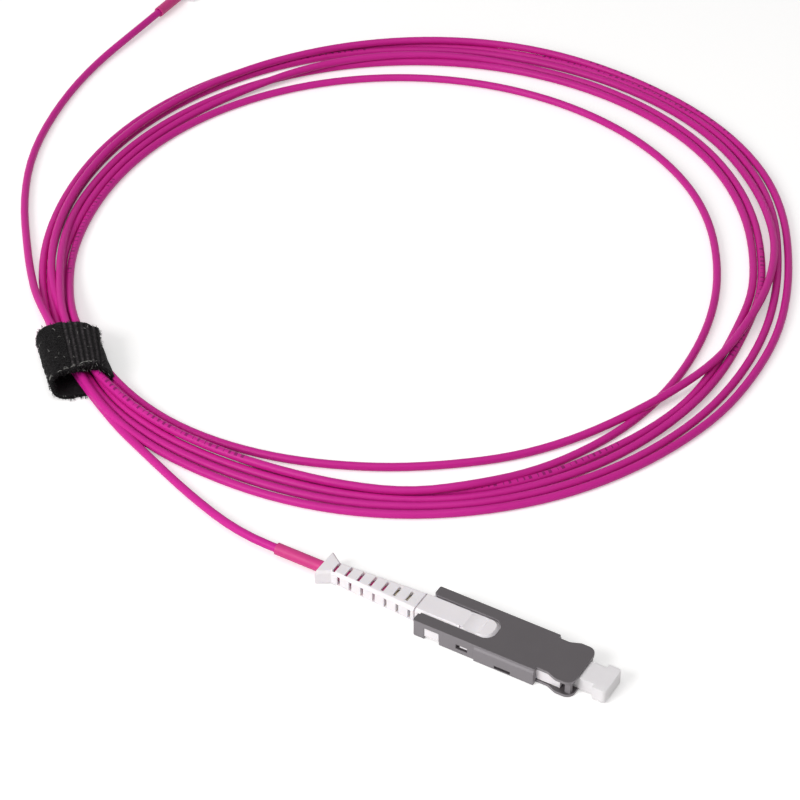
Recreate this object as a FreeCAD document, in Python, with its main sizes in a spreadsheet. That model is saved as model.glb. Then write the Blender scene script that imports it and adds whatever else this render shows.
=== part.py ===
import FreeCAD, Part
import Sketcher
import math
import os

# Duplex fibre patch cord: a round cord wound into a tied coil, with a flat push-pull plug at each end.
# Each plug is modelled about its own axis: X runs towards the mating end, Z is up,
# and X = 0 is the shoulder where the housing's side walls stop. Plug A lies along the part's X axis.

V = FreeCAD.Vector
doc = FreeCAD.newDocument("fibre_patch_cord")
sheet = doc.addObject("Spreadsheet::Sheet", "sizes")

# Driving dimensions in millimetres, grouped by piece
driving = {
    # plug housing
    "plug_width": 9.6,
    "plug_height": 3.5,
    "body_length": 23.6,
    "nose_length": 7.1,
    "plate": 0.55,
    "side_wall": 0.85,
    "waist_width": 8.1,
    "waist_length": 2.2,
    "ear_start": 4.0,
    "ear_round": 1.6,
    "ear_blend": 1.3,
    "corner_round": 0.3,
    "pillar_length": 1.5,
    "pillar_setback": 0.5,
    "ear_inset": 0.6,
    "mouth_width": 6.4,
    "slot_width": 5.2,
    "slot_length": 14.0,
    "slot_round": 2.1,
    "slot_notch": 0.4,
    "rail_length": 11.5,
    "rail_proud": 0.28,
    "rail_drop": 0.45,
    "rail_bevel": 0.4,
    "port_back": 8.45,
    "port_length": 2.25,
    "port_rise": 0.85,
    "port_height": 0.95,
    "lug_inset": 0.15,
    "sill_back": 16.1,
    "sill_length": 3.1,
    "sill_rise": 0.2,
    "sill_height": 0.6,
    "sill_depth": 0.45,
    # clearances
    "fit_gap": 0.08,
    "slide_gap": 0.1,
    "cut_over": 1.0,
    # snap tabs of the rear body
    "tab_back": 2.3,
    "tab_length": 2.8,
    "tab_rise": 0.7,
    "tab_height": 1.75,
    # rear body, crimp post and fibre chamber
    "rear_body_length": 13.7,
    "post_length": 7.0,
    "post_diameter": 1.9,
    "post_bore": 1.1,
    "chamber_width": 4.0,
    "chamber_height": 1.1,
    # front body that carries the ferrules
    "front_reach": 1.9,
    "arm_reach": 4.5,
    "arm_width": 1.1,
    "stop_back": 1.75,
    # ferrules, flanges, springs and fibres
    "ferrule_pitch": 3.0,
    "ferrule_diameter": 1.25,
    "ferrule_reach": 6.2,
    "ferrule_chamfer": 0.2,
    "seat_depth": 1.35,
    "flange_diameter": 1.65,
    "flange_length": 1.95,
    "barrel_diameter": 1.1,
    "barrel_length": 1.6,
    "wire_diameter": 0.2,
    "spring_turns": 6,
    "fibre_diameter": 0.25,
    "ferrule_travel": 0.7,
    # push-pull slider
    "slider_travel": 1.4,
    "block_length": 1.15,
    "tongue_gap": 0.25,
    "top_bevel": 0.48,
    "notch_back": 7.6,
    "notch_length": 0.55,
    "notch_width": 0.6,
    "notch_depth": 0.4,
    "saddle_middle": 9.7,
    "saddle_radius": 4.0,
    "saddle_depth": 0.32,
    "boot_groove": 0.3,
    "groove_depth": 0.45,
    # boot
    "boot_length": 17.25,
    "boot_front_width": 5.0,
    "boot_front_height": 3.4,
    "boot_neck_width": 3.2,
    "boot_neck_height": 3.1,
    "boot_edge": 0.5,
    "boot_gap": 0.1,
    "collar_width": 6.4,
    "collar_length": 2.3,
    "rib_first": 0.4,
    "rib_pitch": 2.45,
    "rib_count": 7,
    "rib_slot": 0.55,
    "rib_reach": 2.5,
    "rib_side_reach": 1.9,
    # crimp ring and shrink sleeve
    "ring_wall": 0.3,
    "sleeve_wall": 0.325,
    "sleeve_end": 54.2,
    # dust cap
    "cap_inset": 0.3,
    "cap_width": 4.58,
    "cap_lift": 0.2,
    "cap_tab_length": 3.0,
    "cap_flange_width": 6.2,
    "cap_flange_length": 2.5,
    "cap_flange_height": 2.66,
    "cap_round": 0.6,
    "cap_bore_spare": 0.4,
    # cord, coil and tie
    "cord_diameter": 1.6,
    "coil_inner_radius": 64.2,
    "coil_spread": 13.3,
    "coil_inset": 6.7,
    "coil_layers": 2,
    "coil_bevel": 0.8,
    "strap_thickness": 1.05,
    "strap_width": 14.5,
    "tie_opening_width": 10.6,
    "tie_opening_height": 4.4,
    "tie_round": 1.2,
    "flap_length": 7.5,
    # where the tie and plug B lie, measured back along plug A and aside from it
    "tie_back": 115.3,
    "tie_aside": 24.5,
    "plug_b_back": 172.0,
    "plug_b_aside": 190.0,
}
for row, (alias, number) in enumerate(driving.items(), 1):
    sheet.set(f"A{row}", alias)
    sheet.set(f"B{row}", str(number))
    sheet.setAlias(f"B{row}", alias)
doc.recompute()

# Directions in degrees: plug B, the cord in the tie, the coil's middle seen from the tie, and its widest side
plug_b_turn = 90.0
tie_turn = 132.0
coil_turn = 60.1
coil_wide_turn = 45
coil_lean = 0.27

# Sizes that several pieces share, written once as expressions
half_width = "(sizes.plug_width / 2)"
half_height = "(sizes.plug_height / 2)"
rear = "(-sizes.body_length)"
cavity_half = "(sizes.plug_width / 2 - sizes.side_wall)"
ceiling = "(sizes.plug_height / 2 - sizes.plate)"
core_half = "(sizes.plug_width / 2 - sizes.side_wall - sizes.fit_gap)"
core_height = "(sizes.plug_height / 2 - sizes.plate - sizes.fit_gap)"
slot_front = "(sizes.slot_length - sizes.body_length)"
pillar_back = "(sizes.nose_length - sizes.pillar_length)"
tab_front = "(sizes.tab_back + sizes.tab_length - sizes.body_length)"
tab_rear = "(sizes.tab_back - sizes.body_length)"
port_rear = "(sizes.port_back - sizes.body_length)"
port_front = f"({port_rear} + sizes.port_length)"
spring_seat = "(sizes.rear_body_length - sizes.body_length)"
block_front = "(-sizes.body_length - sizes.slide_gap)"
boot_front = "(-sizes.body_length - sizes.slide_gap - sizes.block_length)"
boot_neck = f"({boot_front} - sizes.boot_length)"
post_end = "(-sizes.body_length - sizes.post_length)"
ring_front = f"({boot_front} - sizes.slider_travel - 3 * sizes.slide_gap)"
ring_radius = "(sizes.post_diameter / 2 + sizes.ring_wall)"
sleeve_radius = "(sizes.cord_diameter / 2 + sizes.sleeve_wall)"
flange_rear = "(-sizes.stop_back - sizes.flange_length)"
cap_back = "(sizes.front_reach + sizes.cap_inset)"
cap_flange = "(sizes.nose_length + sizes.cap_tab_length)"


def value(expression):
    return float(sheet.evalExpression(expression))


def polar(length, degrees):
    return V(length * math.cos(math.radians(degrees)), length * math.sin(math.radians(degrees)), 0)


def sketch_on(body, role, name, offset="0"):
    plane = [f for f in body.Origin.OriginFeatures if f.Role == role][0]
    sketch = body.newObject("Sketcher::SketchObject", name)
    sketch.AttachmentSupport = [(plane, "")]
    sketch.MapMode = "FlatFace"
    sketch.setExpression("AttachmentOffset.Base.z", offset)
    return sketch


def hold(sketch, kind, geometry, point, expression):
    row = sketch.addConstraint(Sketcher.Constraint(kind, -1, 1, geometry, point, value(expression)))
    sketch.setExpression(f"Constraints[{row}]", expression)


def loop(sketch, corners):
    # A closed run of straight lines whose corners follow the sheet
    first = sketch.GeometryCount
    count = len(corners)
    ends = [V(value(x), value(y), 0) for x, y in corners]
    for i in range(count):
        sketch.addGeometry(Part.LineSegment(ends[i], ends[(i + 1) % count]))
    for i in range(count):
        sketch.addConstraint(Sketcher.Constraint("Coincident", first + i, 2, first + (i + 1) % count, 1))
    for i, (x, y) in enumerate(corners):
        hold(sketch, "DistanceX", first + i, 1, x)
        hold(sketch, "DistanceY", first + i, 1, y)


def rectangle(sketch, x0, x1, y0, y1):
    loop(sketch, [(x0, y0), (x1, y0), (x1, y1), (x0, y1)])


def both_sides(sketch, x0, x1, y0, y1):
    rectangle(sketch, x0, x1, y0, y1)
    rectangle(sketch, x0, x1, f"-({y1})", f"-({y0})")


def mirrored(corners):
    # The corners on the +Y side, followed by the same corners on the other side
    return corners + [(x, f"-({y})") for x, y in reversed(corners)]


def circle(sketch, x, y, diameter):
    geometry = sketch.addGeometry(Part.Circle(V(value(x), value(y), 0), V(0, 0, 1), value(diameter) / 2))
    hold(sketch, "DistanceX", geometry, 3, x)
    hold(sketch, "DistanceY", geometry, 3, y)
    row = sketch.addConstraint(Sketcher.Constraint("Diameter", geometry, value(diameter)))
    sketch.setExpression(f"Constraints[{row}]", diameter)


def pad(body, sketch, length, backwards=False):
    feature = body.newObject("PartDesign::Pad", sketch.Name + "_pad")
    feature.Profile = sketch
    feature.setExpression("Length", length)
    feature.Reversed = backwards
    doc.recompute()
    return feature


def pocket(body, sketch, length=None, forwards=False):
    before = body.Shape.Volume
    feature = body.newObject("PartDesign::Pocket", sketch.Name + "_cut")
    feature.Profile = sketch
    if length is None:
        feature.Type = "ThroughAll"
        feature.Midplane = True
    else:
        feature.setExpression("Length", length)
        feature.Reversed = forwards
    doc.recompute()
    if feature.Shape.Volume >= before:
        raise RuntimeError(feature.Name + " removed nothing")
    return feature


def loft(body, sections, name):
    feature = body.newObject("PartDesign::AdditiveLoft", name)
    feature.Profile = sections[0]
    feature.Sections = sections[1:]
    feature.Ruled = True
    doc.recompute()
    return feature


def revolve(body, sketch):
    feature = body.newObject("PartDesign::Revolution", sketch.Name + "_turn")
    feature.Profile = sketch
    feature.ReferenceAxis = (sketch, ["H_Axis"])
    feature.Angle = 360
    doc.recompute()
    return feature


def edges_along(shape, direction, spots):
    # Names of the edges that run along a direction and pass one of the spots seen along it
    names = []
    for number, edge in enumerate(shape.Edges, 1):
        if edge.Curve.TypeId != "Part::GeomLine":
            continue
        ends = [v.Point for v in edge.Vertexes]
        run = ends[1] - ends[0]
        if run.cross(direction).Length > 1e-6:
            continue
        flat = ends[0] - direction * ends[0].dot(direction)
        if any((flat - spot).Length < 1e-4 for spot in spots):
            names.append(f"Edge{number}")
    return names


def fillet(body, radius, direction, spots, name):
    base = body.Tip
    feature = body.newObject("PartDesign::Fillet", name)
    feature.Base = (base, edges_along(base.Shape, direction, spots))
    feature.setExpression("Radius", radius)
    doc.recompute()
    return feature


def chamfer(body, size, direction, spots, name):
    base = body.Tip
    feature = body.newObject("PartDesign::Chamfer", name)
    feature.Base = (base, edges_along(base.Shape, direction, spots))
    feature.setExpression("Size", size)
    doc.recompute()
    return feature


up = V(0, 0, 1)
along = V(1, 0, 0)


def spots_at(x, y):
    return [V(value(x), value(y), 0), V(value(x), -value(y), 0)]


def new_body(name, place):
    body = doc.addObject("PartDesign::Body", name)
    body.Label = name
    body.Placement = place
    return body


def housing(name, place):
    # Flat grey shell: two plates joined by side walls, a waist and rounded ears at the mating end
    body = new_body(name, place)
    waist = "(sizes.waist_width / 2)"
    plan = sketch_on(body, "XY_Plane", name + "_plan", f"-{half_height}")
    loop(plan, mirrored([
        (rear, half_width), ("0", half_width), ("0", waist), ("sizes.waist_length", waist),
        ("sizes.ear_start", half_width), ("sizes.nose_length", half_width),
    ]))
    pad(body, plan, "sizes.plug_height")
    fillet(body, "sizes.ear_round", up, spots_at("sizes.nose_length", half_width), name + "_ears")
    blends = spots_at("sizes.waist_length", waist) + spots_at("sizes.ear_start", half_width)
    fillet(body, "sizes.ear_blend", up, blends, name + "_waist")
    fillet(body, "sizes.corner_round", up, spots_at(rear, half_width), name + "_corners")

    # raised rails on the side walls, bevelled along their top
    rails = sketch_on(body, "YZ_Plane", name + "_rails")
    inside = f"({half_width} - sizes.side_wall / 2)"
    proud = f"({half_width} + sizes.rail_proud)"
    top = f"({half_height} - sizes.rail_drop)"
    for side in ("", "-"):
        loop(rails, [
            (side + inside, f"-{half_height}"), (side + proud, f"-{half_height}"),
            (side + proud, f"{top} - sizes.rail_bevel"), (side + half_width, top), (side + inside, top),
        ])
    pad(body, rails, "sizes.rail_length", backwards=True)

    # cavity, side windows behind the ears and the mouth between the two pillars
    hollow = sketch_on(body, "XY_Plane", name + "_hollow", f"-{ceiling}")
    outside = f"({half_width} + sizes.cut_over)"
    behind = f"({rear} - sizes.cut_over)"
    ahead = "(sizes.nose_length + sizes.cut_over)"
    mouth = "(sizes.mouth_width / 2)"
    loop(hollow, mirrored([
        (behind, cavity_half), ("0", cavity_half), ("0", outside),
        (pillar_back, outside), (pillar_back, mouth), (ahead, mouth),
    ]))
    pocket(body, hollow, f"2 * {ceiling}", forwards=True)

    # the pillars stand back from the edges of the ears
    setback = sketch_on(body, "XY_Plane", name + "_setback", f"-{ceiling}")
    pillar_front = "(sizes.nose_length - sizes.pillar_setback)"
    pillar_side = f"({half_width} - sizes.ear_inset)"
    ear_gap = [
        (pillar_back, pillar_side), (pillar_front, pillar_side), (pillar_front, mouth),
        (ahead, mouth), (ahead, outside), (pillar_back, outside),
    ]
    loop(setback, ear_gap)
    loop(setback, [(x, f"-({y})") for x, y in ear_gap])
    pocket(body, setback, f"2 * {ceiling}", forwards=True)

    # slot for the slider, notched where it opens at the rear and round at the front
    slot = sketch_on(body, "XY_Plane", name + "_slot", half_height)
    slot_half = "(sizes.slot_width / 2)"
    notch_half = f"({slot_half} + sizes.slot_notch)"
    notch_front = f"({rear} + sizes.slot_notch)"
    loop(slot, mirrored([
        (behind, notch_half), (notch_front, notch_half), (notch_front, slot_half), (slot_front, slot_half),
    ]))
    pocket(body, slot, "sizes.plate")
    fillet(body, "sizes.slot_round", up, spots_at(slot_front, slot_half), name + "_slot_end")

    # notches for the snap tabs, viewing ports and sill notches in both side walls
    tabs = sketch_on(body, "XY_Plane", name + "_tab_notches", f"-{half_height}")
    both_sides(tabs, f"{tab_rear} - sizes.fit_gap", f"{tab_front} + sizes.fit_gap", core_half, outside)
    pocket(body, tabs, "sizes.tab_rise + sizes.tab_height + sizes.fit_gap", forwards=True)
    ports = sketch_on(body, "XY_Plane", name + "_ports", f"sizes.port_rise - {half_height}")
    both_sides(ports, port_rear, port_front, core_half, outside)
    pocket(body, ports, "sizes.port_height", forwards=True)
    sills = sketch_on(body, "XY_Plane", name + "_sills", f"sizes.sill_rise - {half_height}")
    sill_rear = f"({rear} + sizes.sill_back)"
    sill_front = f"({sill_rear} + sizes.sill_length)"
    both_sides(sills, sill_rear, sill_front, f"{half_width} - sizes.sill_depth", outside)
    pocket(body, sills, "sizes.sill_height", forwards=True)
    return body


def rear_body(name, place):
    # White block in the back of the cavity: snap tabs, lugs in the ports, fibre chamber and crimp post
    body = new_body(name, place)
    block = sketch_on(body, "XY_Plane", name + "_block", f"-{core_height}")
    rectangle(block, rear, spring_seat, f"-{core_half}", core_half)
    pad(body, block, f"2 * {core_height}")
    tabs = sketch_on(body, "XY_Plane", name + "_tabs", f"sizes.tab_rise - {half_height}")
    both_sides(tabs, tab_rear, tab_front, f"{core_half} - sizes.side_wall", half_width)
    pad(body, tabs, "sizes.tab_height")
    lug_floor = f"sizes.port_rise + sizes.port_height / 2 - {half_height}"
    lugs = sketch_on(body, "XY_Plane", name + "_lugs", lug_floor)
    lug_rear = f"({port_rear} + sizes.port_length / 3)"
    lug_side = f"({half_width} - sizes.lug_inset)"
    both_sides(lugs, lug_rear, f"{port_front} - sizes.fit_gap", f"{core_half} - sizes.side_wall", lug_side)
    pad(body, lugs, "sizes.port_height / 2 - sizes.fit_gap")
    post = sketch_on(body, "YZ_Plane", name + "_post", rear)
    circle(post, "0", "0", "sizes.post_diameter")
    pad(body, post, "sizes.post_length", backwards=True)
    chamber = sketch_on(body, "XY_Plane", name + "_chamber", "-sizes.chamber_height / 2")
    loop(chamber, mirrored([
        (f"{rear} + sizes.side_wall", "sizes.post_bore / 2"),
        (f"{spring_seat} + sizes.cut_over", "sizes.chamber_width / 2"),
    ]))
    pocket(body, chamber, "sizes.chamber_height", forwards=True)
    bore = sketch_on(body, "YZ_Plane", name + "_bore", f"{rear} + 2 * sizes.side_wall")
    circle(bore, "0", "0", "sizes.post_bore")
    pocket(body, bore, "2 * sizes.side_wall + sizes.post_length + sizes.cut_over")
    return body


def front_body(name, place):
    # White block behind the mouth with two stepped bores for the ferrules and two side arms
    body = new_body(name, place)
    back = f"({spring_seat} + sizes.fit_gap)"
    block = sketch_on(body, "XY_Plane", name + "_block", f"-{core_height}")
    inner = f"({core_half} - sizes.arm_width)"
    loop(block, mirrored([
        (back, core_half), ("sizes.arm_reach", core_half),
        ("sizes.arm_reach", inner), ("sizes.front_reach", inner),
    ]))
    pad(body, block, f"2 * {core_height}")
    wells = sketch_on(body, "YZ_Plane", name + "_wells", back)
    holes = sketch_on(body, "YZ_Plane", name + "_holes")
    for side in ("", "-"):
        centre = side + "sizes.ferrule_pitch / 2"
        circle(wells, centre, "0", "sizes.flange_diameter + 1.5 * sizes.slide_gap")
        circle(holes, centre, "0", "sizes.ferrule_diameter + sizes.slide_gap")
    pocket(body, wells, f"-sizes.stop_back - {back}", forwards=True)
    pocket(body, holes)
    return body


def slider(name, place):
    # White push-pull slide: a flat tongue in the housing's slot and a necked block that carries the boot
    body = new_body(name, place)
    tongue_half = "(sizes.slot_width / 2 - sizes.slide_gap)"
    front = f"({slot_front} - sizes.tongue_gap)"
    tongue = sketch_on(body, "XY_Plane", name + "_tongue", ceiling)
    rectangle(tongue, f"{boot_front} + sizes.boot_groove", front, f"-{tongue_half}", tongue_half)
    pad(body, tongue, "sizes.plate")
    underside = f"(sizes.fit_gap - {half_height})"
    block = sketch_on(body, "YZ_Plane", name + "_block", block_front)
    rectangle(block, f"-{tongue_half}", tongue_half, underside, half_height)
    pad(body, block, "sizes.block_length - sizes.boot_groove", backwards=True)
    neck = sketch_on(body, "YZ_Plane", name + "_neck", block_front)
    neck_half = f"({tongue_half} - sizes.groove_depth)"
    neck_floor = f"{underside} + sizes.groove_depth"
    rectangle(neck, f"-{neck_half}", neck_half, neck_floor, f"{half_height} - sizes.groove_depth")
    pad(body, neck, "sizes.block_length", backwards=True)
    fillet(body, "sizes.slot_round - sizes.slide_gap", up, spots_at(front, tongue_half), name + "_end")
    top_edges = [V(0, side * value(tongue_half), value(half_height)) for side in (1, -1)]
    chamfer(body, "sizes.top_bevel", along, top_edges, name + "_bevel")
    bore = sketch_on(body, "YZ_Plane", name + "_bore", block_front)
    circle(bore, "0", "0", "sizes.post_diameter + 2 * sizes.slide_gap")
    pocket(body, bore, "sizes.block_length")

    # finger saddle near the tongue's front, with a notch in both bevels where it begins
    saddle = sketch_on(body, "XZ_Plane", name + "_saddle")
    saddle_height = f"{half_height} + sizes.saddle_radius - sizes.saddle_depth"
    circle(saddle, f"{rear} + sizes.saddle_middle", saddle_height, "2 * sizes.saddle_radius")
    pocket(body, saddle)
    notches = sketch_on(body, "XY_Plane", name + "_notches", half_height)
    notch_rear = f"({rear} + sizes.notch_back)"
    notch_front = f"({notch_rear} + sizes.notch_length)"
    both_sides(notches, notch_rear, notch_front, f"{tongue_half} - sizes.notch_width", "sizes.slot_width / 2")
    pocket(body, notches, "sizes.notch_depth")
    return body


def octagon(sketch, width, height, edge):
    # A rectangle about the axis with its four corners cut
    a = f"({width} / 2)"
    b = f"({height} / 2)"
    c = f"({edge})"
    right = [(f"{a} - {c}", f"-{b}"), (a, f"{c} - {b}"), (a, f"{b} - {c}"), (f"{a} - {c}", b)]
    left = [(f"-({x})", y) for x, y in reversed(right)]
    loop(sketch, right + left)


def eight_sided(sketch, reach):
    # A regular octagon whose flat sides lie at one distance from the axis
    octagon(sketch, f"(2 * {reach})", f"(2 * {reach})", f"(2 - sqrt(2)) * {reach}")


def boot(name, place):
    # White ribbed strain relief with a flared pull collar; its slots alternate between faces
    body = new_body(name, place)
    stations = [
        (boot_front, "sizes.boot_front_width", "sizes.boot_front_height"),
        (boot_neck, "sizes.boot_neck_width", "sizes.boot_neck_height"),
        (f"{boot_neck} - sizes.collar_length", "sizes.collar_width", "sizes.boot_neck_height"),
    ]
    sections = []
    for number, (x, width, height) in enumerate(stations):
        sections.append(sketch_on(body, "YZ_Plane", f"{name}_section_{number}", x))
        octagon(sections[-1], width, height, "sizes.boot_edge")
    loft(body, sections, name + "_taper")
    bore = sketch_on(body, "YZ_Plane", name + "_bore", boot_front)
    eight_sided(bore, f"({sleeve_radius} + sizes.boot_gap)")
    pocket(body, bore)
    socket = sketch_on(body, "YZ_Plane", name + "_socket", boot_front)
    eight_sided(socket, f"({ring_radius} + sizes.boot_gap)")
    pocket(body, socket, f"{boot_front} - {post_end} + sizes.boot_gap")
    slots = [
        ("XY_Plane", "top", "sizes.rib_first", "sizes.rib_reach"),
        ("XZ_Plane", "side", "sizes.rib_first + sizes.rib_pitch / 2", "sizes.rib_side_reach"),
    ]
    for role, face, start, reach in slots:
        cut = sketch_on(body, role, f"{name}_{face}_slot")
        x = f"({boot_neck} + {start})"
        half_slot = "sizes.rib_slot / 2"
        rectangle(cut, f"{x} - {half_slot}", f"{x} + {half_slot}", f"-{reach} / 2", f"{reach} / 2")
        first = pocket(body, cut)
        row = body.newObject("PartDesign::LinearPattern", f"{name}_{face}_row")
        row.Originals = [first]
        row.Direction = (cut, ["H_Axis"])
        row.setExpression("Length", "sizes.rib_pitch * (sizes.rib_count - 1)")
        row.setExpression("Occurrences", "sizes.rib_count")
        body.Tip = row
        doc.recompute()
    return body


def dust_cap(name, place):
    # Translucent cap: a block with two blind bores over the ferrules, then a thicker grip with an end flange
    body = new_body(name, place)
    half = "(sizes.cap_width / 2)"
    neck = "(sizes.nose_length + sizes.cap_lift)"
    block = sketch_on(body, "XY_Plane", name + "_block", f"-{core_height}")
    rectangle(block, cap_back, neck, f"-{half}", half)
    pad(body, block, f"2 * {core_height}")
    grip = sketch_on(body, "XY_Plane", name + "_grip", "-sizes.cap_flange_height / 2")
    grip_half = "(sizes.cap_flange_width / 2)"
    grip_front = f"({cap_flange} + sizes.cap_flange_length)"
    loop(grip, mirrored([(neck, half), (cap_flange, half), (cap_flange, grip_half), (grip_front, grip_half)]))
    pad(body, grip, "sizes.cap_flange_height")
    fillet(body, "sizes.cap_round", up, spots_at(grip_front, grip_half), name + "_corners")
    bores = sketch_on(body, "YZ_Plane", name + "_bores", cap_back)
    for side in ("", "-"):
        circle(bores, side + "sizes.ferrule_pitch / 2", "0", "sizes.ferrule_diameter + 1.5 * sizes.slide_gap")
    pocket(body, bores, f"sizes.ferrule_reach + sizes.cap_bore_spare - {cap_back}", forwards=True)
    return body


def turned(name, place, profile):
    # A piece turned about its own X axis; the profile lists X and radius
    body = new_body(name, place)
    sketch = sketch_on(body, "XY_Plane", name + "_profile")
    loop(sketch, profile)
    revolve(body, sketch)
    return body


def ferrule(name, place):
    radius = "sizes.ferrule_diameter / 2"
    back = "-sizes.stop_back - sizes.seat_depth"
    return turned(name, place, [
        (back, "0"), (back, radius), ("sizes.ferrule_reach - 2 * sizes.ferrule_chamfer", radius),
        ("sizes.ferrule_reach", f"{radius} - sizes.ferrule_chamfer"), ("sizes.ferrule_reach", "0"),
    ])


def flange(name, place):
    # Six-sided rim that stops the ferrule, with a seat for it in front and a round barrel behind
    body = new_body(name, place)
    rim = sketch_on(body, "YZ_Plane", name + "_rim", "-sizes.stop_back")
    corner = "sizes.flange_diameter / 2"
    loop(rim, [(f"{corner} * cos({60 * k})", f"{corner} * sin({60 * k})") for k in range(6)])
    pad(body, rim, "sizes.flange_length", backwards=True)
    barrel = sketch_on(body, "YZ_Plane", name + "_barrel", flange_rear)
    circle(barrel, "0", "0", "sizes.barrel_diameter")
    pad(body, barrel, "sizes.barrel_length", backwards=True)
    seat = sketch_on(body, "YZ_Plane", name + "_seat", "-sizes.stop_back")
    circle(seat, "0", "0", "sizes.ferrule_diameter")
    pocket(body, seat, "sizes.seat_depth")
    return body


def crimp_ring(name, place):
    inner = "sizes.post_diameter / 2"
    return turned(name, place, [
        (ring_front, inner), (ring_front, ring_radius), (post_end, ring_radius), (post_end, inner),
    ])


def shrink_sleeve(name, place):
    inner = "sizes.cord_diameter / 2"
    return turned(name, place, [
        (post_end, inner), (post_end, sleeve_radius),
        ("-sizes.sleeve_end", sleeve_radius), ("-sizes.sleeve_end", inner),
    ])


def many_sided(sides, radius, centre, heading):
    # A closed outline of equal sides, square to a heading
    turn = FreeCAD.Rotation(up, heading)
    corners = [centre + turn.multVec(polar(radius, 360 * k / sides)) for k in range(sides)]
    return Part.makePolygon(corners + corners[:1])


def spring(name, place):
    # Coil spring between the flange and the rear body's seat, wound in short straight steps to keep it light
    wire = value("sizes.wire_diameter")
    radius = value("(sizes.flange_diameter - sizes.wire_diameter) / 2")
    start = value(f"{spring_seat} + sizes.wire_diameter / 2 + sizes.slide_gap / 4")
    span = value(f"{flange_rear} - {spring_seat} - sizes.wire_diameter - sizes.slide_gap / 2")
    steps_per_turn = 8
    steps = int(value("sizes.spring_turns")) * steps_per_turn
    centres = []
    for step in range(steps + 1):
        turn = 2 * math.pi * step / steps_per_turn
        centres.append(V(start + span * step / steps, radius * math.cos(turn), radius * math.sin(turn)))
    section = many_sided(4, wire / 2, centres[0], centres[1] - centres[0])
    feature = doc.addObject("Part::Feature", name)
    feature.Label = name
    feature.Shape = Part.makePolygon(centres).makePipeShell([section], True, False, 1)
    feature.Placement = place
    return feature


def route_tube(name, points, diameter, sides, place=FreeCAD.Placement()):
    # A many-sided tube along straight runs joined by arcs as large as the runs allow
    edges = []
    last = points[0]
    radii = []
    for before, corner, after in zip(points, points[1:], points[2:]):
        back = (before - corner).normalize()
        ahead = (after - corner).normalize()
        trim = 0.45 * min((before - corner).Length, (after - corner).Length)
        half_turn = (math.pi - back.getAngle(ahead)) / 2
        radius = trim / math.tan(half_turn)
        start = corner + back * trim
        end = corner + ahead * trim
        middle = (back + ahead).normalize()
        crown = corner + middle * (radius / math.cos(half_turn) - radius)
        edges.append(Part.LineSegment(last, start).toShape())
        edges.append(Part.Arc(start, crown, end).toShape())
        radii.append(radius)
        last = end
    edges.append(Part.LineSegment(last, points[-1]).toShape())
    path = Part.Wire(edges)
    ring = many_sided(sides, diameter / 2, points[0], points[1] - points[0])
    tube = path.makePipeShell([ring], True, False)
    expected = Part.Face(ring).Area * path.Length
    print(f"{name}: length {path.Length:.1f}, radii " + ", ".join(f"{r:.0f}" for r in radii))
    if abs(tube.Volume / expected - 1) > 0.01:
        raise RuntimeError(f"{name}: volume {tube.Volume:.2f} is not section times length {expected:.2f}")
    feature = doc.addObject("Part::Feature", name)
    feature.Label = name
    feature.Shape = tube
    feature.Placement = place
    return feature


def fibre(name, place, side):
    # Coated fibre from the flange's barrel through the spring and the chamber into the crimp post
    start = value(f"{flange_rear} - sizes.barrel_length")
    entry = value(spring_seat)
    exit_x = value(f"{rear} + 2 * sizes.side_wall")
    end = value(f"{post_end} + sizes.ferrule_travel + sizes.slide_gap")
    apart = side * value("sizes.ferrule_pitch / 2")
    close = side * value("sizes.fibre_diameter")
    points = [V(start, apart, 0), V(entry, apart, 0), V(exit_x, close, 0), V(end, close, 0)]
    return route_tube(name, points, value("sizes.fibre_diameter"), 6, place)


def plug(end, place):
    # Every piece of one plug, in nodes that end in its letter
    pieces = [
        housing(f"housing_{end}", place),
        rear_body(f"rear_body_{end}", place),
        front_body(f"front_body_{end}", place),
        slider(f"push_pull_slider_{end}", place),
        boot(f"boot_{end}", place),
        dust_cap(f"dust_cap_{end}", place),
        crimp_ring(f"crimp_ring_{end}", place),
        shrink_sleeve(f"shrink_sleeve_{end}", place),
    ]
    for hand, side in (("left", 1), ("right", -1)):
        offset = FreeCAD.Placement(V(0, side * value("sizes.ferrule_pitch / 2"), 0), FreeCAD.Rotation())
        beside = place.multiply(offset)
        pieces.append(ferrule(f"ferrule_{hand}_{end}", beside))
        pieces.append(flange(f"ferrule_flange_{hand}_{end}", beside))
        pieces.append(spring(f"ferrule_spring_{hand}_{end}", beside))
        pieces.append(fibre(f"fibre_{hand}_{end}", place, side))
    return pieces


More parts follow.
